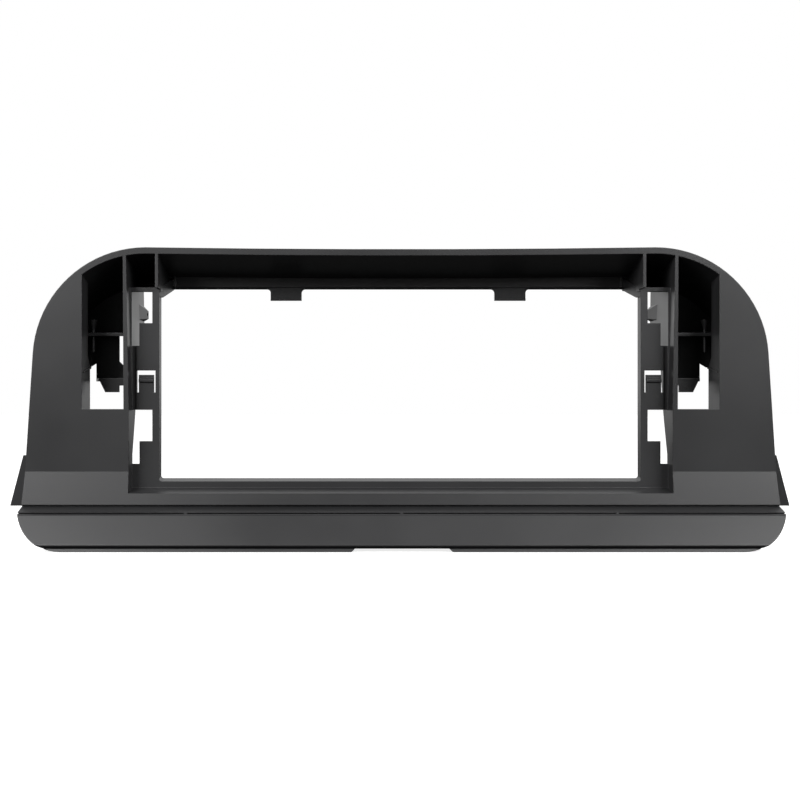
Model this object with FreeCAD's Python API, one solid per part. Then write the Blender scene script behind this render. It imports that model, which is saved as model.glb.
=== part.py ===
import FreeCAD, Part

import math
import os

from FreeCAD import Vector

# Mounting frame for a wide car radio screen, moulded in one piece. Sizes are in millimetres.
# X runs across the frame, Y from the front to the back and Z up from the feet.
# While the frame is drawn, Y is 0 on the flat front panel. The last step puts Y = 0 half-way
# through its depth. Both sides are alike, so most pieces are drawn on the right and mirrored.

# Recess for the screen. The frame's widths follow from its half width.
RECESS_HALF_WIDTH = 154.0
RECESS_FLARE = 1.6            # how much wider each side is at the top
RECESS_WALL_FOOT = 2.9
RECESS_WALL_TOP = 1.7
SEAT_WIDTH = 15.8             # strip that the screen's edge rests on, beside the window
SEAT_HEIGHT = 114.9
SEAT_DEPTH = 10.0
SEAT_THICKNESS = 2.5
SEAT_GROOVE_WIDTH = 2.6
SEAT_GROOVE_DEPTH = 1.4

# Hollow beam along the bottom, with a ledge, a lip and two long feet
BEAM_OVERHANG = 5.7           # how far the beam stands out beyond the panel
BEAM_HEIGHT = 23.1
BEAM_DEPTH = 34.0
BEAM_CORNER_RADIUS = 27.0
BEAM_WALL = 2.4
BEAM_RIB_SPACING = 120.0
BEAM_RIB_THICKNESS = 1.6
LEDGE_REACH = 13.4
LEDGE_DROP = 2.5
SHADOW_LINE = 0.6             # height of the dark line under the ledge's front edge
SHADOW_DEPTH = 1.4
LIP_REACH = 11.2              # how far the lip stands out in front of the ledge
LIP_DROP = 0.75
LIP_TOP_WIDTH = 1.6
LIP_TOP_RADIUS = 1.8
LIP_FOOT_RISE = 1.8           # from the feet up to the lip's lower edge
LIP_FOOT_RADIUS = 0.8
LIP_UNDERCUT = 2.4
FOOT_HEIGHT = 1.6
FOOT_SETBACK = 0.3
FOOT_SLANT = 0.5
FOOT_GAP_HALF = 26.0

# Shadow groove over the beam, sloping strip along the panel's foot and floor of the recess
GROOVE_DEPTH = 1.6
GROOVE_HEIGHT = 0.8
RAMP_HEIGHT = 18.7
RAMP_REACH = 3.5
FLOOR_RISE = 6.2              # from the foot of the sloping strip to the floor's front edge
FLOOR_CLIMB = 2.65            # from the floor's front edge to the seat
FLOOR_THICKNESS = 2.2

# Front panel and the hood behind it
SIDE_PANEL_WIDTH = 54.4       # from the recess to where the corner arc meets the side
HEADROOM = 21.9               # from the top of the seat to the top of the panel
PANEL_THICKNESS = 2.4
CORNER_RADIUS = 63.9
SIDE_LEAN = 3.7               # degrees that each side leans out towards its foot
TOP_HOLLOW = 1.1              # sag of the top edge at its middle
RIM = 3.6                     # wall of the hood, and the rim that shows in front
HOOD_DEPTH = 58.0
HOOD_SLOPE = 11.8             # degrees that the hood falls towards the back

# Window through the seat
WINDOW_SILL = 3.65
WINDOW_RETURN = 8.0
WINDOW_RETURN_RISE = 1.4
WINDOW_RETURN_WALL = 2.2
WINDOW_CORNER_RADIUS = 1.5
WINDOW_SIDE_DROP = 5.1        # how far the window's side walls stop below the seat's top

# Stepped latch slots, two above each other on each side
LATCH_WIDTH = 11.8
LATCH_HEIGHT = 18.0
LATCH_TAIL_WIDTH = 4.4
LATCH_TAIL_HEIGHT = 13.0
LATCH_DROP = 2.4              # from the seat's top to the upper slot
LATCH_PITCH = 67.8

# Snap tab in the seat, freed by a slot on three sides
TAB_WIDTH = 8.5
TAB_LENGTH = 10.1
TAB_RISE = 10.0               # from the lower latch slot to the tab's root
TAB_SLOT = 1.1
TAB_SLOT_TOP = 2.5
TAB_INSET = 8.3               # from the recess wall to the tab's middle
TAB_RIDGE = 0.9
TAB_RIDGE_HEIGHT = 1.5

# Ribs, braces and rail around the window's top
INNER_RIB_THICKNESS = 1.7
INNER_RIB_DROP = 0.9
RAIL_SETBACK = 16.0
RAIL_THICKNESS = 2.5
RAIL_CLEARANCE = 1.9          # from the seat's top up to the rail
RAIL_CHAMFER = 1.2
BRACE_HEIGHT_FRONT = 4.4
BRACE_HEIGHT_BACK = 6.6
BRACE_PROUD = 2.8             # at the rail, from nothing at the window's side
SHELF_THICKNESS = 2.4
SHELF_RISE = 5.7
HANGER_SPACING = 134.4
HANGER_HALF_WIDTH = 9.3
HANGER_LENGTH = 6.8
HANGER_FLARE = 2.2
POST_INSET = 4.2
POST_RADIUS = 1.1

# Side pockets, open to the back below their shelves
POCKET_WIDTH = 23.6
POCKET_HEIGHT = 91.6          # from the pocket's floor to the top of the panel
POCKET_WALL = 2.2
POCKET_WALL_DEPTH = 22.0      # below the bead
POCKET_WALL_TOP_DEPTH = 16.0
POCKET_WALL_KNEE = 6.0        # height over which the outer wall gets shallower
POCKET_SKIRT = 17.8           # how far the outer wall runs down below the floor
POCKET_BACK_SETBACK = 3.0
POCKET_BACK_THICKNESS = 2.4
POCKET_SHELF_GAP = 2.0        # from the outer wall's rear edge back to the shelf
POCKET_SHELF_DROP = 49.1      # from the panel's top to the underside of the shelf's front edge
POCKET_SHELF_THICKNESS = 2.0
POCKET_SHELF_CLIMB = 2.4
BEAD_PROUD = 0.8
BEAD_HEIGHT = 1.0
BEAD_RISE = 20.6              # from the pocket's floor to the bead's front end
BEAD_CLIMB = 2.9
WEB_RISE_INNER = 27.4         # from the pocket's floor to the lower edge of the web beside the leg
WEB_RISE_OUTER = 24.7
WEB_SLANT_WIDTH = 4.0
PEG_RADIUS = 0.9
PEG_HEAD_RADIUS = 2.3
PEG_HEAD_HEIGHT = 5.5
PEG_RISE = 33.3               # from the pocket's floor to the peg's foot
PEG_LENGTH = 18.8
PEG_INSET = 0.9               # from the pocket's outer wall to the peg's middle
PEG_SETBACK = 2.8             # from the shelf's front edge back to the peg's middle

# Leg that hangs from each pocket's shelf: a plate, a floor and a tongue in front of it
LEG_DEPTH = 20.0
LEG_WALL = 1.6
LEG_LENGTH = 32.8             # from the shelf's front edge down to the tongue's end
LEG_PLATE_WIDTH = 13.8
LEG_PLATE_OFFSET = 0.6        # how far the plate reaches out past the pocket's outer wall
LEG_HEEL_WIDTH = 3.0
LEG_HEEL_HEIGHT = 7.4
LEG_TONGUE_GAP = 4.4          # from the pocket's outer wall to the tongue
LEG_TONGUE_WIDTH = 15.1
LEG_TONGUE_LENGTH = 8.2
LEG_TONGUE_THICKNESS = 2.2
LEG_TAPER = 4.0
LEG_NOTCH_WIDTH = 3.0
LEG_NOTCH_HEIGHT = 3.9

# Screw boss at the back edge of each recess wall, for a radio's side bracket
BOSS_WIDTH = 4.6
BOSS_LENGTH = 20.0
BOSS_SLOPE_TOP = 3.4
BOSS_SLOPE_FOOT = 1.8
BOSS_HOLE_RADIUS = 1.0
BOSS_SETBACK = 2.2            # from the back edge to the hole's middle
BOSS_DROP = 34.5
BOSS_PROUD = 2.7              # at the back edge, from nothing in front

# Wings behind the panel's lower corners
WING_DEPTH = 12.0
WING_THICKNESS = 2.4
WING_REACH = 16.0
WING_TOP_REACH = 8.4
WING_HEIGHT = 29.1
WING_SINK = 0.9               # how far the wing reaches down into the beam

# Stiffening ribs behind each side panel, by their height over the beam
PANEL_RIB_LOW = 26.9
PANEL_RIB_HIGH = 66.9
PANEL_RIB_THICKNESS = 1.6

# Rear edge of the walls in side view: depths, and heights over the pockets' floor
REAR_KNEE_DEPTH = 20.0
REAR_KNEE_DROP = 7.0
REAR_STEP_DEPTH = 30.0
REAR_STEP_RISE = 24.6
REAR_SHELF_SETBACK = 6.0
REAR_SHELF_RISE = 27.6
REAR_HEEL_RISE = 34.2
RECESS_REAR_RISE = 12.65      # from the seat's floor up to the narrowest part of its walls

REACH = 500.0                 # longer than the frame in every direction
OVERLAP = 0.4                 # how far a rib runs into the wall that it joins

# Widths that follow, each as a distance from the middle of the frame
PANEL_HALF_WIDTH = RECESS_HALF_WIDTH + SIDE_PANEL_WIDTH
BEAM_HALF_WIDTH = PANEL_HALF_WIDTH + BEAM_OVERHANG
WINDOW_HALF_WIDTH = RECESS_HALF_WIDTH - SEAT_WIDTH
TAB_CENTRE = RECESS_HALF_WIDTH - TAB_INSET
POCKET_OUTER = RECESS_HALF_WIDTH + RECESS_WALL_FOOT + POCKET_WIDTH
LEG_OUTER = POCKET_OUTER + LEG_PLATE_OFFSET
LEG_INNER = LEG_OUTER - LEG_PLATE_WIDTH
LEG_HEEL = LEG_INNER - LEG_HEEL_WIDTH
TONGUE_OUTER = POCKET_OUTER - LEG_TONGUE_GAP
TONGUE_INNER = TONGUE_OUTER - LEG_TONGUE_WIDTH

# Heights that follow, each over the surface that the feet stand on
LEDGE_FRONT = BEAM_HEIGHT - LEDGE_DROP
LIP_TOP = LEDGE_FRONT - LIP_DROP
RAMP_FOOT = BEAM_HEIGHT + GROOVE_HEIGHT
FOLD_HEIGHT = RAMP_FOOT + RAMP_HEIGHT
FLOOR_FRONT = RAMP_FOOT + FLOOR_RISE
SEAT_FLOOR = FLOOR_FRONT + FLOOR_CLIMB
SEAT_TOP = SEAT_FLOOR + SEAT_HEIGHT
PANEL_TOP = SEAT_TOP + HEADROOM
WINDOW_BOTTOM = SEAT_FLOOR + WINDOW_SILL
WINDOW_SIDE_TOP = SEAT_TOP - WINDOW_SIDE_DROP
UPPER_LATCH_TOP = SEAT_TOP - LATCH_DROP
LOWER_LATCH_TOP = UPPER_LATCH_TOP - LATCH_PITCH
TAB_ROOT = LOWER_LATCH_TOP + TAB_RISE
TAB_TOP = TAB_ROOT + TAB_LENGTH
RAIL_BOTTOM = SEAT_TOP + RAIL_CLEARANCE
HANGER_BOTTOM = RAIL_BOTTOM - HANGER_LENGTH
POCKET_FLOOR = PANEL_TOP - POCKET_HEIGHT
POCKET_WALL_FOOT = POCKET_FLOOR - POCKET_SKIRT
POCKET_SHELF_FRONT = PANEL_TOP - POCKET_SHELF_DROP
POCKET_BACK_BOTTOM = POCKET_SHELF_FRONT + POCKET_SHELF_CLIMB
PEG_FOOT = POCKET_FLOOR + PEG_RISE
PEG_TOP = PEG_FOOT + PEG_LENGTH
LEG_BOTTOM = POCKET_SHELF_FRONT - LEG_LENGTH
LEG_TONGUE_TOP = LEG_BOTTOM + LEG_TONGUE_LENGTH
BOSS_HEIGHT = PANEL_TOP - BOSS_DROP
WING_FOOT = BEAM_HEIGHT - WING_SINK

# Depths that follow, each behind the front of the panel
LIP_FRONT = -LEDGE_REACH - LIP_REACH
GROOVE_BACK = GROOVE_DEPTH - RAMP_REACH
RAIL_DEPTH = HOOD_DEPTH - RAIL_SETBACK
POCKET_BACK_DEPTH = HOOD_DEPTH - POCKET_BACK_SETBACK
POCKET_SHELF_DEPTH = POCKET_WALL_DEPTH + POCKET_SHELF_GAP
LEG_BACK = POCKET_SHELF_DEPTH + LEG_DEPTH
PEG_DEPTH = POCKET_SHELF_DEPTH + PEG_SETBACK
BOSS_HOLE_DEPTH = HOOD_DEPTH - BOSS_SETBACK

# Upper part of the rear edge, as (y, z) points that all the walls share
REAR_EDGE = [(REAR_KNEE_DEPTH, POCKET_FLOOR - REAR_KNEE_DROP),
             (REAR_STEP_DEPTH, POCKET_FLOOR + REAR_STEP_RISE),
             (HOOD_DEPTH - REAR_SHELF_SETBACK, POCKET_FLOOR + REAR_SHELF_RISE),
             (HOOD_DEPTH, POCKET_FLOOR + REAR_HEEL_RISE)]

fall = math.tan(math.radians(HOOD_SLOPE))


def box(x_from, x_to, y_from, y_to, z_from, z_to):
    """Block between two opposite corners."""
    return Part.makeBox(x_to - x_from, y_to - y_from, z_to - z_from, Vector(x_from, y_from, z_from))


def side_prism(points, x_from, x_to):
    """Solid with a side view given by (y, z) points, between two x values."""
    wire = Part.makePolygon([Vector(x_from, y, z) for y, z in points + points[:1]])
    return Part.Face(wire).extrude(Vector(x_to - x_from, 0, 0))


def front_prism(points, y_from, y_to):
    """Solid with a front view given by (x, z) points, between two y values."""
    wire = Part.makePolygon([Vector(x, y_from, z) for x, z in points + points[:1]])
    return Part.Face(wire).extrude(Vector(0, y_to - y_from, 0))


def top_prism(points, z_from, z_to):
    """Solid with a top view given by (x, y) points, between two heights."""
    wire = Part.makePolygon([Vector(x, y, z_from) for x, y in points + points[:1]])
    return Part.Face(wire).extrude(Vector(0, 0, z_to - z_from))


def pair(solids):
    """The solids, with their mirror images on the other side of the frame."""
    return solids + [solid.mirror(Vector(), Vector(1, 0, 0)) for solid in solids]


def rounded_wire(corners):
    """Closed outline in the plane z = 0, through corners (u, v, radius)."""
    points = [Vector(u, v, 0) for u, v, radius in corners]
    starts, middles, ends = [], [], []
    for i, (u, v, radius) in enumerate(corners):
        back = (points[i - 1] - points[i]).normalize()
        ahead = (points[(i + 1) % len(points)] - points[i]).normalize()
        half_angle = back.getAngle(ahead) / 2
        reach = radius / math.tan(half_angle)
        to_arc = radius / math.sin(half_angle) - radius
        starts.append(points[i] + back * reach)
        middles.append(points[i] + (back + ahead).normalize() * to_arc)
        ends.append(points[i] + ahead * reach)
    edges = []
    for i, (u, v, radius) in enumerate(corners):
        if radius > 0:
            edges.append(Part.Arc(starts[i], middles[i], ends[i]).toShape())
        edges.append(Part.makeLine(ends[i], starts[(i + 1) % len(points)]))
    return Part.Wire(edges)


def to_side_view(shape):
    """Turn a shape drawn as (y, z, 0) into the side view, in the plane x = 0."""
    turned = shape.copy()
    turned.Placement = FreeCAD.Placement(Vector(), FreeCAD.Rotation(Vector(1, 1, 1), 120))
    return turned


def to_front_view(shape):
    """Turn a shape drawn as (x, z, 0) into the front view, in the plane y = 0."""
    turned = shape.copy()
    turned.Placement = FreeCAD.Placement(Vector(), FreeCAD.Rotation(Vector(1, 0, 0), 90))
    return turned


def shroud_face(inset):
    """Outline of the panel in the front view, moved in by the inset."""
    lean = math.radians(SIDE_LEAN)
    centre_x = PANEL_HALF_WIDTH - CORNER_RADIUS
    centre_z = PANEL_TOP - CORNER_RADIUS
    radius = CORNER_RADIUS - inset

    def on_arc(angle, side):
        return Vector(side * (centre_x + radius * math.cos(angle)), 0, centre_z + radius * math.sin(angle))

    halfway = (math.pi / 2 + lean) / 2
    foot_x = on_arc(lean, 1).x + on_arc(lean, 1).z * math.tan(lean)
    right, left = [[on_arc(angle, side) for angle in (lean, halfway, math.pi / 2)] for side in (1, -1)]
    top_middle = Vector(0, 0, centre_z + radius - TOP_HOLLOW)
    edges = [Part.makeLine(Vector(-foot_x, 0, 0), Vector(foot_x, 0, 0)),
             Part.makeLine(Vector(foot_x, 0, 0), right[0]),
             Part.Arc(*right).toShape(),
             Part.Arc(right[2], top_middle, left[2]).toShape(),
             Part.Arc(left[2], left[1], left[0]).toShape(),
             Part.makeLine(left[0], Vector(-foot_x, 0, 0))]
    return Part.Face(Part.Wire(edges))


def shroud(inset, y_from, y_to):
    """Solid space inside the hood's outline, which falls towards the back."""
    face = shroud_face(inset)
    face.translate(Vector(0, y_from, -fall * y_from))
    return face.extrude(Vector(0, y_to - y_from, -fall * (y_to - y_from)))


def behind(edge_points):
    """Everything behind a rear edge given by (y, z) points from the bottom to the top."""
    lowest, highest = edge_points[0], edge_points[-1]
    points = [(lowest[0], -REACH)] + edge_points + [(highest[0], REACH), (REACH, REACH), (REACH, -REACH)]
    return side_prism(points, -REACH, REACH)


def hood_shell():
    """Front panel, the sloping strip at its foot, and the hood's walls behind them."""
    foot = BEAM_HEIGHT - OVERLAP
    ramp_points = [(OVERLAP, FOLD_HEIGHT), (0, FOLD_HEIGHT), (-RAMP_REACH, RAMP_FOOT),
                   (GROOVE_BACK, RAMP_FOOT), (GROOVE_BACK, foot), (OVERLAP, foot)]
    straight = shroud_face(0)
    straight.translate(Vector(0, -RAMP_REACH, 0))
    straight = straight.extrude(Vector(0, RAMP_REACH + OVERLAP, 0))
    ramp = side_prism(ramp_points, -REACH, REACH).common(straight)
    above_beam = box(-REACH, REACH, -REACH, REACH, foot, REACH)
    outer = shroud(0, 0, HOOD_DEPTH).common(above_beam)
    inner = shroud(RIM, PANEL_THICKNESS, HOOD_DEPTH + OVERLAP)
    strip = side_prism([(PANEL_THICKNESS, FOLD_HEIGHT), (GROOVE_BACK + PANEL_THICKNESS, foot - OVERLAP),
                        (PANEL_THICKNESS, foot - OVERLAP)], -REACH, REACH)
    walls = outer.fuse(ramp).cut([inner, strip.common(shroud(RIM, -RAMP_REACH, HOOD_DEPTH))])
    return walls.cut(behind([(REAR_KNEE_DEPTH, BEAM_HEIGHT)] + REAR_EDGE))


def recess_side(z):
    """Half width of the recess at a height: upright at first, then flaring to the top."""
    share = max(0.0, (z - POCKET_FLOOR) / (PANEL_TOP - POCKET_FLOOR))
    return RECESS_HALF_WIDTH + RECESS_FLARE * share


def panel_openings():
    """Cuts through the panel: the recess in the middle and a pocket on each side."""
    floor_slope = FLOOR_CLIMB / (SEAT_DEPTH + RAMP_REACH)
    front_height = SEAT_FLOOR - floor_slope * (SEAT_DEPTH + REACH)
    over_floor = side_prism([(-REACH, front_height), (SEAT_DEPTH, SEAT_FLOOR),
                             (SEAT_DEPTH, REACH), (-REACH, REACH)], -REACH, REACH)
    right = [(recess_side(z), z) for z in (0, POCKET_FLOOR, PANEL_TOP)]
    recess = front_prism(right + [(-x, z) for x, z in reversed(right)], -REACH, SEAT_DEPTH)
    inside = shroud(RIM, -RAMP_REACH - OVERLAP, SEAT_DEPTH)
    recess = recess.common(over_floor).common(inside)
    pocket = box(RECESS_HALF_WIDTH + RECESS_WALL_FOOT, POCKET_OUTER, -OVERLAP, PANEL_THICKNESS + OVERLAP,
                 POCKET_FLOOR, REACH).common(inside)
    return [recess] + pair([pocket])


def recess_walls():
    """Upright walls between the recess and the pockets, and the floor under the recess."""
    foot = SEAT_FLOOR - FLOOR_THICKNESS
    half = RECESS_HALF_WIDTH + RECESS_WALL_FOOT
    inner = [(recess_side(z), z) for z in (foot, POCKET_FLOOR, PANEL_TOP)]
    outer = [(recess_side(PANEL_TOP) + RECESS_WALL_TOP, PANEL_TOP), (half, POCKET_FLOOR), (half, foot)]
    wall = front_prism(inner + outer, 0, HOOD_DEPTH)
    wall = wall.cut(behind([(SEAT_DEPTH + SEAT_THICKNESS, SEAT_FLOOR),
                            (SEAT_DEPTH, SEAT_FLOOR + RECESS_REAR_RISE)] + REAR_EDGE))
    floor = side_prism([(-RAMP_REACH + PANEL_THICKNESS / 2, FLOOR_FRONT),
                        (SEAT_DEPTH + OVERLAP, SEAT_FLOOR), (SEAT_DEPTH + OVERLAP, foot),
                        (-RAMP_REACH + PANEL_THICKNESS, FLOOR_FRONT - FLOOR_THICKNESS)], -half, half)
    return pair([wall]) + [floor]


def latch_slot(top):
    """Stepped slot beside the recess wall: a wide latch opening with a narrow tail below."""
    outer = RECESS_HALF_WIDTH
    shoulder = top - LATCH_HEIGHT
    bottom = shoulder - LATCH_TAIL_HEIGHT
    points = [(outer, top), (outer - LATCH_WIDTH, top), (outer - LATCH_WIDTH, shoulder),
              (outer - LATCH_TAIL_WIDTH, shoulder), (outer - LATCH_TAIL_WIDTH, bottom), (outer, bottom)]
    return front_prism(points, SEAT_DEPTH - OVERLAP, SEAT_DEPTH + SEAT_THICKNESS + OVERLAP)


def snap_slot():
    """Slot on three sides of the snap tab."""
    half = TAB_WIDTH / 2
    wide = half + TAB_SLOT
    top = TAB_TOP + TAB_SLOT_TOP
    points = [(-wide, TAB_ROOT), (-wide, top), (wide, top), (wide, TAB_ROOT),
              (half, TAB_ROOT), (half, TAB_TOP), (-half, TAB_TOP), (-half, TAB_ROOT)]
    points = [(TAB_CENTRE + x, z) for x, z in points]
    return front_prism(points, SEAT_DEPTH - OVERLAP, SEAT_DEPTH + SEAT_THICKNESS + OVERLAP)


def seat():
    """U-shaped seat for the screen's edge, with its latch slots, snap tabs and window return."""
    outer = RECESS_HALF_WIDTH + RECESS_FLARE
    bottom = SEAT_FLOOR - FLOOR_THICKNESS
    plate = box(-outer, outer, SEAT_DEPTH, SEAT_DEPTH + SEAT_THICKNESS, bottom, SEAT_TOP)
    window = window_prism(0, SEAT_DEPTH - OVERLAP, SEAT_DEPTH + SEAT_THICKNESS + OVERLAP, REACH)
    groove = box(RECESS_HALF_WIDTH - SEAT_GROOVE_WIDTH, RECESS_HALF_WIDTH, SEAT_DEPTH - OVERLAP,
                 SEAT_DEPTH + SEAT_GROOVE_DEPTH, LOWER_LATCH_TOP,
                 UPPER_LATCH_TOP - LATCH_HEIGHT - LATCH_TAIL_HEIGHT)
    cuts = pair([latch_slot(UPPER_LATCH_TOP), latch_slot(LOWER_LATCH_TOP), snap_slot(), groove])
    plate = plate.cut([window] + cuts)
    frame_return = window_prism(WINDOW_RETURN_WALL, SEAT_DEPTH, SEAT_DEPTH + WINDOW_RETURN, WINDOW_SIDE_TOP)
    frame_return = frame_return.cut(window_prism(0, SEAT_DEPTH, SEAT_DEPTH + WINDOW_RETURN, REACH))
    ridge_top = TAB_TOP - TAB_SLOT_TOP
    ridge = side_prism([(SEAT_DEPTH + OVERLAP, ridge_top + TAB_RIDGE),
                        (SEAT_DEPTH - TAB_RIDGE, ridge_top),
                        (SEAT_DEPTH - TAB_RIDGE, ridge_top - TAB_RIDGE_HEIGHT),
                        (SEAT_DEPTH + OVERLAP, ridge_top - TAB_RIDGE_HEIGHT - TAB_RIDGE)],
                       TAB_CENTRE - TAB_WIDTH / 2, TAB_CENTRE + TAB_WIDTH / 2)
    return [plate, frame_return] + pair([ridge])


def window_prism(grow, y_from, y_to, top):
    """Space of the window, grown by a wall, climbing on its way back."""
    half = WINDOW_HALF_WIDTH + grow
    bottom = WINDOW_BOTTOM - grow
    radius = WINDOW_CORNER_RADIUS + grow
    wire = rounded_wire([(-half, bottom, radius), (half, bottom, radius), (half, top, 0), (-half, top, 0)])
    face = to_front_view(Part.Face(wire))
    slope = WINDOW_RETURN_RISE / WINDOW_RETURN
    face.translate(Vector(0, y_from, slope * (y_from - SEAT_DEPTH)))
    return face.extrude(Vector(0, y_to - y_from, slope * (y_to - y_from)))


def window_top():
    """Inner ribs, sloping braces, top rail with its hangers and posts, and the small pockets' shelves."""
    inner = WINDOW_HALF_WIDTH - INNER_RIB_THICKNESS / 2
    outer = inner + INNER_RIB_THICKNESS
    rail_back = RAIL_DEPTH + RAIL_THICKNESS
    brace_top_back = RAIL_BOTTOM + BRACE_HEIGHT_BACK
    rib_foot = SEAT_TOP - INNER_RIB_DROP
    rib = side_prism([(0, rib_foot), (SEAT_DEPTH, rib_foot), (rail_back, RAIL_BOTTOM),
                      (POCKET_BACK_DEPTH + OVERLAP, RAIL_BOTTOM), (POCKET_BACK_DEPTH + OVERLAP, PANEL_TOP),
                      (0, PANEL_TOP)], inner, outer)
    brace = side_prism([(SEAT_DEPTH, WINDOW_SIDE_TOP), (SEAT_DEPTH, WINDOW_SIDE_TOP + BRACE_HEIGHT_FRONT),
                        (RAIL_DEPTH, brace_top_back), (rail_back, brace_top_back), (rail_back, RAIL_BOTTOM),
                        (SEAT_DEPTH + WINDOW_RETURN, WINDOW_SIDE_TOP)],
                       inner - BRACE_PROUD, outer)
    brace = brace.common(top_prism([(WINDOW_HALF_WIDTH, SEAT_DEPTH), (inner - BRACE_PROUD, RAIL_DEPTH),
                                    (inner - BRACE_PROUD, rail_back), (outer, rail_back),
                                    (outer, SEAT_DEPTH)], 0, PANEL_TOP))
    shelf_top_back = SEAT_TOP + SHELF_RISE
    shelf = side_prism([(SEAT_DEPTH, SEAT_TOP), (POCKET_BACK_DEPTH + OVERLAP, shelf_top_back),
                        (POCKET_BACK_DEPTH + OVERLAP, shelf_top_back - SHELF_THICKNESS),
                        (SEAT_DEPTH, SEAT_TOP - SHELF_THICKNESS)],
                       inner, RECESS_HALF_WIDTH + RECESS_FLARE)
    back = box(inner, RECESS_HALF_WIDTH + RECESS_FLARE, POCKET_BACK_DEPTH,
               POCKET_BACK_DEPTH + POCKET_BACK_THICKNESS, shelf_top_back - SHELF_THICKNESS, PANEL_TOP)
    rail = side_prism([(RAIL_DEPTH, PANEL_TOP), (RAIL_DEPTH, RAIL_BOTTOM + RAIL_CHAMFER),
                       (RAIL_DEPTH + RAIL_CHAMFER, RAIL_BOTTOM), (rail_back, RAIL_BOTTOM),
                       (rail_back, PANEL_TOP)], -outer, outer)
    post = Part.makeCylinder(POST_RADIUS, PANEL_TOP - RAIL_BOTTOM - RAIL_CHAMFER,
                             Vector(WINDOW_HALF_WIDTH - POST_INSET, RAIL_DEPTH, RAIL_BOTTOM + RAIL_CHAMFER))
    return pair([rib, brace, shelf, back, post, hanger()]) + [rail]


def hanger():
    """Tab that hangs from the rail, flaring into it with hollow corners."""
    centre = HANGER_SPACING / 2
    half = HANGER_HALF_WIDTH
    top = RAIL_BOTTOM + RAIL_CHAMFER
    plate = box(centre - half, centre + half, RAIL_DEPTH + OVERLAP, RAIL_DEPTH + RAIL_THICKNESS,
                HANGER_BOTTOM, top)
    parts = [plate]
    for side in (-1, 1):
        corner = box(0, HANGER_FLARE, 0, RAIL_THICKNESS - OVERLAP, -HANGER_FLARE, OVERLAP)
        hollow = Part.makeCylinder(HANGER_FLARE, RAIL_THICKNESS, Vector(HANGER_FLARE, 0, -HANGER_FLARE),
                                   Vector(0, 1, 0))
        flare = corner.cut(hollow)
        if side < 0:
            flare = flare.mirror(Vector(), Vector(1, 0, 0))
        flare.translate(Vector(centre + side * half, RAIL_DEPTH + OVERLAP, RAIL_BOTTOM))
        parts.append(flare)
    hook = box(centre - half, centre + half, RAIL_DEPTH - OVERLAP, RAIL_DEPTH + RAIL_THICKNESS,
               HANGER_BOTTOM, HANGER_BOTTOM + RAIL_CHAMFER)
    return parts[0].fuse(parts[1:] + [hook])


def side_pocket():
    """Outer wall, rear wall, shelf, bead, web and peg of one side pocket."""
    bead_front = POCKET_FLOOR + BEAD_RISE
    knee = bead_front + BEAD_CLIMB + BEAD_HEIGHT
    outer_wall = side_prism([(OVERLAP, POCKET_WALL_FOOT), (POCKET_WALL_DEPTH, POCKET_WALL_FOOT),
                             (POCKET_WALL_DEPTH, knee), (POCKET_WALL_TOP_DEPTH, knee + POCKET_WALL_KNEE),
                             (POCKET_WALL_TOP_DEPTH, PANEL_TOP), (OVERLAP, PANEL_TOP)],
                            POCKET_OUTER, POCKET_OUTER + POCKET_WALL)
    inner = RECESS_HALF_WIDTH + RECESS_FLARE + OVERLAP
    back = box(inner, REACH, POCKET_BACK_DEPTH, POCKET_BACK_DEPTH + POCKET_BACK_THICKNESS,
               POCKET_BACK_BOTTOM, PANEL_TOP)
    shelf = side_prism([(POCKET_SHELF_DEPTH, POCKET_SHELF_FRONT),
                        (POCKET_BACK_DEPTH + OVERLAP, POCKET_BACK_BOTTOM),
                        (POCKET_BACK_DEPTH + OVERLAP, POCKET_BACK_BOTTOM + POCKET_SHELF_THICKNESS),
                        (POCKET_SHELF_DEPTH, POCKET_SHELF_FRONT + POCKET_SHELF_THICKNESS)], inner, REACH)
    bead = side_prism([(PANEL_THICKNESS, bead_front), (POCKET_WALL_DEPTH, knee - BEAD_HEIGHT),
                       (POCKET_WALL_DEPTH, knee),
                       (PANEL_THICKNESS, bead_front + BEAD_HEIGHT)],
                      POCKET_OUTER - BEAD_PROUD, POCKET_OUTER + OVERLAP)
    web = front_prism([(LEG_OUTER - OVERLAP, POCKET_FLOOR + WEB_RISE_INNER),
                       (LEG_OUTER + WEB_SLANT_WIDTH, POCKET_FLOOR + WEB_RISE_OUTER),
                       (REACH, POCKET_FLOOR + WEB_RISE_OUTER), (REACH, POCKET_BACK_BOTTOM),
                       (LEG_OUTER - OVERLAP, POCKET_BACK_BOTTOM)], LEG_BACK - LEG_WALL, LEG_BACK)
    peg_centre = POCKET_OUTER - PEG_INSET
    stem = Part.makeCylinder(PEG_RADIUS, PEG_LENGTH - PEG_HEAD_HEIGHT,
                             Vector(peg_centre, PEG_DEPTH, PEG_FOOT))
    head = Part.makeCone(PEG_RADIUS, PEG_HEAD_RADIUS, PEG_HEAD_HEIGHT,
                         Vector(peg_centre, PEG_DEPTH, PEG_TOP - PEG_HEAD_HEIGHT))
    return [outer_wall, back, shelf, bead, web, stem, head]


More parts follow.
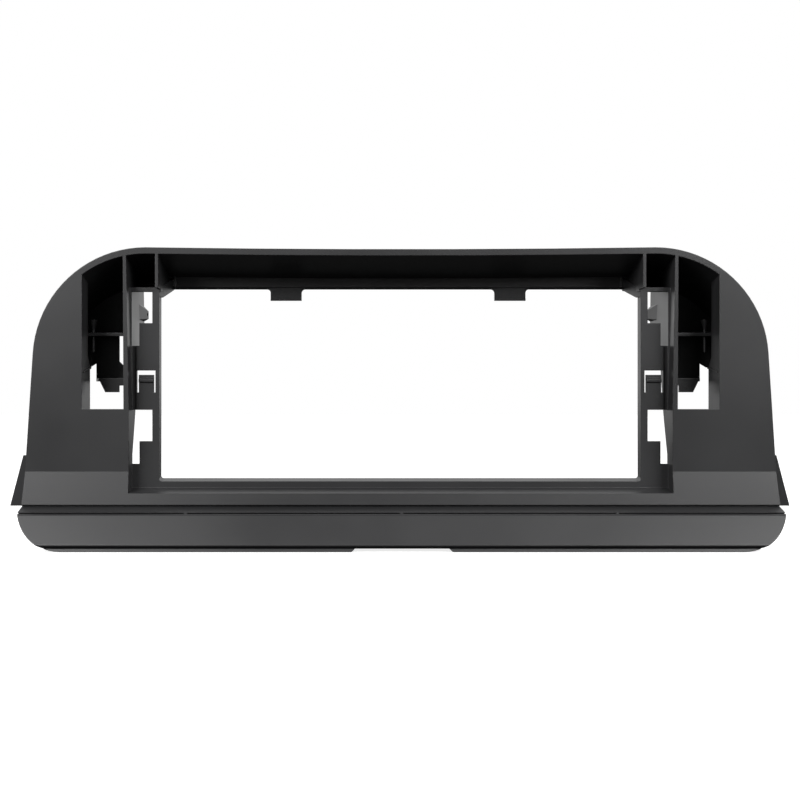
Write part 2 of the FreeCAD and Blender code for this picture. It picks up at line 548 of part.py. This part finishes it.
def leg():
    """Plate under one pocket's shelf, with a floor that reaches forward to a hanging tongue."""
    front = POCKET_SHELF_DEPTH
    floor = LEG_TONGUE_TOP - LEG_WALL
    heel_top = LEG_TONGUE_TOP + LEG_HEEL_HEIGHT
    notch_side = TONGUE_INNER + LEG_NOTCH_WIDTH
    notch_top = LEG_BOTTOM + LEG_NOTCH_HEIGHT
    plate = front_prism([(LEG_OUTER, POCKET_BACK_BOTTOM), (LEG_OUTER, floor), (LEG_HEEL, floor),
                         (LEG_HEEL, heel_top), (LEG_INNER, heel_top + LEG_HEEL_WIDTH),
                         (LEG_INNER, POCKET_BACK_BOTTOM)], LEG_BACK - LEG_WALL, LEG_BACK)
    base = top_prism([(TONGUE_INNER, front), (TONGUE_OUTER, front),
                      (LEG_OUTER, LEG_BACK), (LEG_HEEL, LEG_BACK)], floor, LEG_TONGUE_TOP)
    tongue = front_prism([(TONGUE_OUTER, LEG_TONGUE_TOP), (TONGUE_OUTER - LEG_TAPER, LEG_BOTTOM),
                          (notch_side, LEG_BOTTOM), (notch_side, notch_top), (TONGUE_INNER, notch_top),
                          (TONGUE_INNER, LEG_TONGUE_TOP)], front, front + LEG_TONGUE_THICKNESS)
    return plate.fuse([base, tongue])


def boss():
    """Wedge-shaped screw boss on the inner face of one recess wall, thickest at the back edge."""
    half = BOSS_WIDTH / 2
    wall = recess_side(BOSS_HEIGHT) + OVERLAP
    proud = recess_side(BOSS_HEIGHT) - BOSS_PROUD
    outline = front_prism([(wall, BOSS_HEIGHT + half + BOSS_SLOPE_TOP), (proud, BOSS_HEIGHT + half),
                           (proud, BOSS_HEIGHT - half), (wall, BOSS_HEIGHT - half - BOSS_SLOPE_FOOT)],
                          HOOD_DEPTH - BOSS_LENGTH, HOOD_DEPTH)
    wedge = top_prism([(wall, HOOD_DEPTH - BOSS_LENGTH), (wall, HOOD_DEPTH), (proud, HOOD_DEPTH)],
                      0, PANEL_TOP)
    return outline.common(wedge)


def boss_hole():
    """Screw hole through the boss and its wall."""
    start = Vector(recess_side(BOSS_HEIGHT) - BOSS_PROUD, BOSS_HOLE_DEPTH, BOSS_HEIGHT)
    length = BOSS_PROUD + RECESS_WALL_FOOT + OVERLAP
    return Part.makeCylinder(BOSS_HOLE_RADIUS, length, start, Vector(1, 0, 0))


def wing():
    """Flat wing that stands out behind the panel's lower corner."""
    root = PANEL_HALF_WIDTH - RIM + OVERLAP
    top = WING_FOOT + WING_HEIGHT
    points = [(root, WING_FOOT), (PANEL_HALF_WIDTH + WING_REACH, WING_FOOT),
              (PANEL_HALF_WIDTH + WING_TOP_REACH, top), (root, top)]
    return front_prism(points, WING_DEPTH, WING_DEPTH + WING_THICKNESS)


def panel_ribs():
    """Level stiffening ribs between a pocket's outer wall and the hood's side wall."""
    inner = POCKET_OUTER + OVERLAP
    depth = REAR_KNEE_DEPTH - OVERLAP
    ribs = []
    for rise in (PANEL_RIB_LOW, PANEL_RIB_HIGH):
        z = BEAM_HEIGHT + rise
        ribs.append(box(inner, REACH, OVERLAP, depth, z, z + PANEL_RIB_THICKNESS))
    return ribs


def beam():
    """Hollow beam along the bottom, open to the back, with the ledge, the lip and the feet."""
    foot_front = LIP_FRONT + FOOT_SETBACK

    def profile(rear):
        return [(rear, 0, 0), (foot_front, 0, 0), (foot_front + FOOT_SLANT, FOOT_HEIGHT, 0),
                (LIP_FRONT + LIP_UNDERCUT, FOOT_HEIGHT, 0),
                (LIP_FRONT, FOOT_HEIGHT + LIP_FOOT_RISE, LIP_FOOT_RADIUS),
                (-LEDGE_REACH - LIP_TOP_WIDTH, LIP_TOP, LIP_TOP_RADIUS), (-LEDGE_REACH, LIP_TOP, 0),
                (-LEDGE_REACH, LEDGE_FRONT, 0), (GROOVE_BACK, BEAM_HEIGHT, 0), (rear, BEAM_HEIGHT, 0)]

    def outline():
        right = [(FOOT_GAP_HALF, FOOT_HEIGHT, 0), (FOOT_GAP_HALF + FOOT_HEIGHT, 0, 0),
                 (BEAM_HALF_WIDTH, 0, BEAM_CORNER_RADIUS), (BEAM_HALF_WIDTH, 2 * BEAM_CORNER_RADIUS, 0)]
        return right + [(-x, z, radius) for x, z, radius in reversed(right)]

    side_face = to_side_view(Part.Face(rounded_wire(profile(BEAM_DEPTH))))
    open_side_face = to_side_view(Part.Face(rounded_wire(profile(REACH))))
    front_face = to_front_view(Part.Face(rounded_wire(outline())))
    outer = prism_between(side_face, Vector(1, 0, 0), REACH).common(
        prism_between(front_face, Vector(0, 1, 0), REACH))
    inner = prism_between(open_side_face.makeOffset2D(-BEAM_WALL), Vector(1, 0, 0), REACH).common(
        prism_between(front_face.makeOffset2D(-BEAM_WALL), Vector(0, 1, 0), REACH))
    shadow = box(-REACH, REACH, -LEDGE_REACH - OVERLAP, -LEDGE_REACH + SHADOW_DEPTH,
                 LIP_TOP, LIP_TOP + SHADOW_LINE)
    shell = outer.cut([inner, shadow])
    ribs = []
    count = int((BEAM_HALF_WIDTH - BEAM_CORNER_RADIUS) / BEAM_RIB_SPACING)
    for i in range(-count, count + 1):
        x = i * BEAM_RIB_SPACING
        ribs.append(box(x - BEAM_RIB_THICKNESS / 2, x + BEAM_RIB_THICKNESS / 2, -REACH, BEAM_DEPTH - RIM,
                        -REACH, REACH).common(outer))
    return [shell] + ribs


def prism_between(face, direction, reach):
    """Solid that a face sweeps from far on one side of it to far on the other."""
    moved = face.copy()
    moved.translate(direction * -reach)
    return moved.extrude(direction * (2 * reach))


def inside_hood(solids):
    """The solids, without what would stick out of the hood."""
    space = shroud(RIM / 2, 0, HOOD_DEPTH)
    return [solid.common(space) for solid in solids]


def mounting_frame():
    """The whole moulding as one solid."""
    shell = hood_shell().cut(panel_openings())
    walls = recess_walls() + window_top() + pair(side_pocket() + panel_ribs())
    walls = inside_hood(walls) + seat() + pair([leg(), boss(), wing()]) + beam()
    solid = shell.fuse(walls).cut(pair([boss_hole()])).removeSplitter()
    middle = (solid.BoundBox.YMin + solid.BoundBox.YMax) / 2
    solid.translate(Vector(0, -middle, 0))
    return solid


os.makedirs("parts", exist_ok=True)
frame = mounting_frame()
frame.Solids[0].exportStep("parts/mounting_frame.step")
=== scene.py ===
import math

import bpy
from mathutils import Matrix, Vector

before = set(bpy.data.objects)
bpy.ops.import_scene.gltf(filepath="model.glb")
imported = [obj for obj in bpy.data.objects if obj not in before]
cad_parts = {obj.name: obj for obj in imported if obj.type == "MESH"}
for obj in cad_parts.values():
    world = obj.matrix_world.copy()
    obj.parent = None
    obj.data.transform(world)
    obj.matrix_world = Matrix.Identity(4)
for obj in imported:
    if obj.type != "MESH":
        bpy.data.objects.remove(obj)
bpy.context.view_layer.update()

# Mounting frame for a wide car radio screen.
# The real piece is one thin-walled injection moulding in black satin ABS, and is left unpainted as
# it comes out of its mould. It keeps the shape of its one solid, and gets its finish here.

# Soft edges: the mould is milled, so each outer edge of the plastic has a small radius, which
# catches the light as a thin pale line.
EDGE_RADIUS = 0.0005            # metres, a usual radius for a moulding with 2.4 mm walls
EDGE_SAMPLES = 8

# Satin ABS: a spark-eroded mould leaves a fine, even grain, which the eye reads as a dull sheen
# that brightens towards the lamps. The colour is carbon black with hardly any tint.
ABS_COLOUR = "272728"
ABS_WORN_COLOUR = "2b2b2c"      # where hands and packing have rubbed the grain
ABS_IOR = 1.53
ABS_ROUGHNESS = 0.40
ROUGHNESS_SWING = 0.04          # how far the gloss goes either way
GRAIN_MM = 0.35                 # real grain is about 0.05 mm; drawn coarser so that it shows
GRAIN_HEIGHT_MM = 0.006
GRAIN_DETAIL = 3.0
GRAIN_ROUGHNESS = 0.6
GRAIN_STRENGTH = 0.35
FLOW_MM = 60                    # broad, faint changes of gloss from how the melt flowed
FLOW_DETAIL = 2.0
FLOW_ROUGHNESS = 0.5
RUBBED_FROM = 0.35              # flow pattern's values between which the colour changes
RUBBED_TO = 0.7
GLOSS_FROM = 0.3                # the same for the gloss
GLOSS_TO = 0.7


def linear(code):
    """Scene colour of an sRGB hex code."""
    parts = [int(code[i:i + 2], 16) / 255 for i in (0, 2, 4)]
    return [p / 12.92 if p <= 0.04045 else ((p + 0.055) / 1.055) ** 2.4 for p in parts] + [1.0]


def add_node(tree, kind, settings=None, links=None):
    """Add a node to the tree, set its properties and inputs, and link its inputs."""
    node = tree.nodes.new(kind)
    for name, value in (settings or {}).items():
        if isinstance(name, int) or name in node.inputs:
            node.inputs[name].default_value = value
        else:
            setattr(node, name, value)
    for name, socket in (links or {}).items():
        tree.links.new(socket, node.inputs[name])
    return node


def new_material(name):
    """Material with an empty node tree, and the tree."""
    material = bpy.data.materials.new(name)
    material.use_nodes = True
    material.node_tree.nodes.clear()
    return material, material.node_tree


abs_plastic, tree = new_material("moulded_satin_abs")
place = add_node(tree, "ShaderNodeTexCoord").outputs["Object"]
flow = add_node(tree, "ShaderNodeTexNoise",
                {"Scale": 1000 / FLOW_MM, "Detail": FLOW_DETAIL, "Roughness": FLOW_ROUGHNESS},
                {"Vector": place})
grain = add_node(tree, "ShaderNodeTexNoise",
                 {"Scale": 1000 / GRAIN_MM, "Detail": GRAIN_DETAIL, "Roughness": GRAIN_ROUGHNESS},
                 {"Vector": place})
rubbed = add_node(tree, "ShaderNodeMapRange", {"From Min": RUBBED_FROM, "From Max": RUBBED_TO},
                  {"Value": flow.outputs["Fac"]})
colour = add_node(tree, "ShaderNodeMix", {"data_type": "RGBA"}, {"Factor": rubbed.outputs["Result"]})
colour.inputs[6].default_value = linear(ABS_COLOUR)
colour.inputs[7].default_value = linear(ABS_WORN_COLOUR)
gloss = add_node(tree, "ShaderNodeMapRange",
                 {"From Min": GLOSS_FROM, "From Max": GLOSS_TO,
                  "To Min": ABS_ROUGHNESS - ROUGHNESS_SWING, "To Max": ABS_ROUGHNESS + ROUGHNESS_SWING},
                 {"Value": flow.outputs["Fac"]})
soft_edge = add_node(tree, "ShaderNodeBevel", {"samples": EDGE_SAMPLES, "Radius": EDGE_RADIUS})
bump = add_node(tree, "ShaderNodeBump",
                {"Strength": GRAIN_STRENGTH, "Distance": GRAIN_HEIGHT_MM / 1000},
                {"Height": grain.outputs["Fac"], "Normal": soft_edge.outputs["Normal"]})
shader = add_node(tree, "ShaderNodeBsdfPrincipled", {"IOR": ABS_IOR, "Metallic": 0.0},
                  {"Base Color": colour.outputs[2], "Roughness": gloss.outputs["Result"],
                   "Normal": bump.outputs["Normal"]})
add_node(tree, "ShaderNodeOutputMaterial", links={"Surface": shader.outputs["BSDF"]})

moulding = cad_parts["mounting_frame"]
for slot in moulding.material_slots:
    slot.material = abs_plastic

# Studio: a pale floor, which the two long feet stand on. It is a sheet of matt paper that runs far
# back. Its own white and the lamps' light add up to plain white for the camera, so no shadow shows
# on it. To the plastic it is dim, so that it doesn't light the underside of the hood.
WHITE = (1.0, 1.0, 1.0, 1.0)
FLOOR_SIZE = 12.0
FLOOR_DROP = 0.0004             # a hair below the feet, so that the faces don't coincide
FLOOR_COLOUR = "e4e4e3"
FLOOR_DIM_COLOUR = "3a3a3a"
FLOOR_WHITE = 0.8

paper, tree = new_material("matt_white_paper")
ray = add_node(tree, "ShaderNodeLightPath")
sees = add_node(tree, "ShaderNodeMath", {"operation": "MAXIMUM"},
                {0: ray.outputs["Is Camera Ray"], 1: ray.outputs["Is Transmission Ray"]})
tone = add_node(tree, "ShaderNodeMix", {"data_type": "RGBA"}, {"Factor": sees.outputs["Value"]})
tone.inputs[6].default_value = linear(FLOOR_DIM_COLOUR)
tone.inputs[7].default_value = linear(FLOOR_COLOUR)
matt = add_node(tree, "ShaderNodeBsdfDiffuse", links={"Color": tone.outputs[2]})
strength = add_node(tree, "ShaderNodeMath", {"operation": "MULTIPLY", 1: FLOOR_WHITE},
                    {0: sees.outputs["Value"]})
white = add_node(tree, "ShaderNodeEmission", {"Color": WHITE}, {"Strength": strength.outputs["Value"]})
both = add_node(tree, "ShaderNodeAddShader",
                links={0: matt.outputs["BSDF"], 1: white.outputs["Emission"]})
add_node(tree, "ShaderNodeOutputMaterial", links={"Surface": both.outputs["Shader"]})

bpy.ops.mesh.primitive_plane_add(size=FLOOR_SIZE, location=(0, 0, -FLOOR_DROP))
floor = bpy.context.object
floor.name = "floor"
floor.data.materials.append(paper)

# Studio: a white backdrop behind the frame, and a dim room behind the camera, so that the pockets
# and the underside of the hood stay dark. The camera sees white all round.
ROOM_LIGHT = 0.12
BACKDROP_FROM = 0.1             # part of a direction that points back, where the backdrop fades in
BACKDROP_TO = 0.5               # and where it is full

world = bpy.data.worlds.new("white_backdrop")
bpy.context.scene.world = world
world.use_nodes = True
tree = world.node_tree
tree.nodes.clear()
ray = add_node(tree, "ShaderNodeLightPath")
sees = add_node(tree, "ShaderNodeMath", {"operation": "MAXIMUM"},
                {0: ray.outputs["Is Camera Ray"], 1: ray.outputs["Is Transmission Ray"]})
heading = add_node(tree, "ShaderNodeSeparateXYZ",
                   links={"Vector": add_node(tree, "ShaderNodeTexCoord").outputs["Generated"]})
backdrop = add_node(tree, "ShaderNodeMapRange", {"From Min": BACKDROP_FROM, "From Max": BACKDROP_TO},
                    {"Value": heading.outputs["Y"]})
bright = add_node(tree, "ShaderNodeMath", {"operation": "MAXIMUM"},
                  {0: sees.outputs["Value"], 1: backdrop.outputs["Result"]})
strength = add_node(tree, "ShaderNodeMapRange", {"To Min": ROOM_LIGHT, "To Max": 1.0},
                    {"Value": bright.outputs["Value"]})
sky = add_node(tree, "ShaderNodeBackground", {"Color": WHITE}, {"Strength": strength.outputs["Result"]})
add_node(tree, "ShaderNodeOutputWorld", links={"Surface": sky.outputs["Background"]})

# Studio: two wide soft boxes, high to the left and right, which brighten the ends of the sloping
# strip and the lip and leave the middle of the frame darker.
BOX_ASIDE = 0.89                # metres to each side of the frame's middle
BOX_AHEAD = 0.98                # in front of the frame's middle
BOX_HEIGHT = 0.78               # over the floor
BOX_AIM_ASIDE = 0.1             # where each box points, on its own side of the middle
BOX_AIM_HEIGHT = 0.08
BOX_WIDE = 0.9
BOX_TALL = 0.8
LEFT_WATTS = 21
RIGHT_WATTS = 18

for number, (side, watts) in enumerate([(-1, LEFT_WATTS), (1, RIGHT_WATTS)]):
    lamp = bpy.data.lights.new(f"soft_box_{number}", "AREA")
    lamp.shape = "RECTANGLE"
    lamp.size = BOX_WIDE
    lamp.size_y = BOX_TALL
    lamp.energy = watts
    where = Vector((side * BOX_ASIDE, -BOX_AHEAD, BOX_HEIGHT))
    aim = Vector((side * BOX_AIM_ASIDE, 0, BOX_AIM_HEIGHT))
    box = bpy.data.objects.new(lamp.name, lamp)
    box.location = where
    box.rotation_euler = (aim - where).to_track_quat("-Z", "Y").to_euler()
    bpy.context.scene.collection.objects.link(box)

# Camera: level with the middle of the frame, a little left of it, 0.7 m in front of the panel.
FOCAL_PIXELS = 1236.7
PICTURE_PIXELS = 800
SENSOR_MM = 36
CAMERA_X = -0.0253
CAMERA_Y = -0.71682
CAMERA_HEIGHT = 0.08309
CAMERA_SHIFT = 0.0551           # in picture widths; brings the frame back to the picture's middle

camera = bpy.data.cameras.new("camera")
camera.sensor_width = SENSOR_MM
camera.lens = FOCAL_PIXELS / PICTURE_PIXELS * SENSOR_MM
camera.shift_x = CAMERA_SHIFT
eye = bpy.data.objects.new("camera", camera)
eye.location = (CAMERA_X, CAMERA_Y, CAMERA_HEIGHT)
eye.rotation_euler = (math.pi / 2, 0, 0)
bpy.context.scene.collection.objects.link(eye)
bpy.context.scene.camera = eye
bpy.context.scene.view_settings.view_transform = "Standard"
